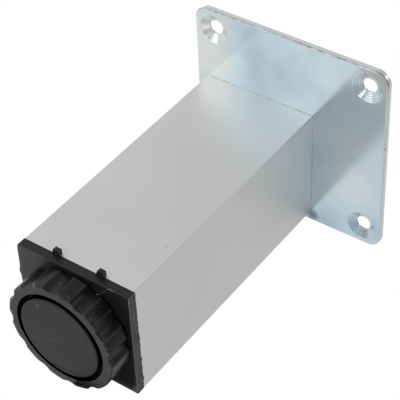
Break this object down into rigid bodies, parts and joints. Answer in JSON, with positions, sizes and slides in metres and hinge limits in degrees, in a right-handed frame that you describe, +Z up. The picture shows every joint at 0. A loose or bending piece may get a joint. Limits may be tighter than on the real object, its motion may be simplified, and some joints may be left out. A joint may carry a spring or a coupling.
{
  "type": "adjustable cabinet leg",
  "caption": "Square aluminium cabinet leg under an eccentric steel plate, with a black plastic end cap and a lobed screw foot.",
  "frame": {"origin": "on the tube's axis at the face of the glide pad, where the foot stands on the floor", "axes": "+Z up the tube towards the mounting plate, +X and -Y towards the sides where the plate reaches furthest"},
  "size_m": [0.07, 0.07, 0.106],
  "materials": {
    "aluminium_tube": "satin anodised",
    "zinc_plate": "bright zinc with a blue passivation",
    "zinc_hardware": "bright zinc",
    "cap_plastic": "black moulded, fine satin",
    "knob_plastic": "black moulded, semi-matt",
    "pad_plastic": "black moulded, semi-matt"
  },
  "bodies": {
    "root": {"leg_tube": "aluminium_tube", "mounting_plate": "zinc_plate", "plate_screw_1": "zinc_hardware", "plate_screw_2": "zinc_hardware", "plate_screw_3": "zinc_hardware", "plate_screw_4": "zinc_hardware", "end_cap": "cap_plastic", "spindle_nut": "zinc_hardware"},
    "glide": {"glide_pad": "pad_plastic"},
    "foot": {"foot_knob": "knob_plastic", "spindle": "zinc_hardware"}
  },
  "joints": [
    {"name": "foot_travel", "type": "slide", "parent": "root", "child": "glide", "axis": [0, 0, -1], "range_m": [0, 0.015]},
    {"name": "foot_turn", "type": "hinge", "parent": "glide", "child": "foot", "pos_m": [0, 0, 0.0046], "axis": [0, 0, -1], "range_deg": [0, 4320]}
  ],
  "couplings": [
    {"joint": "foot_turn", "follows": "foot_travel", "rad_per_m": 5026.5}
  ]
}
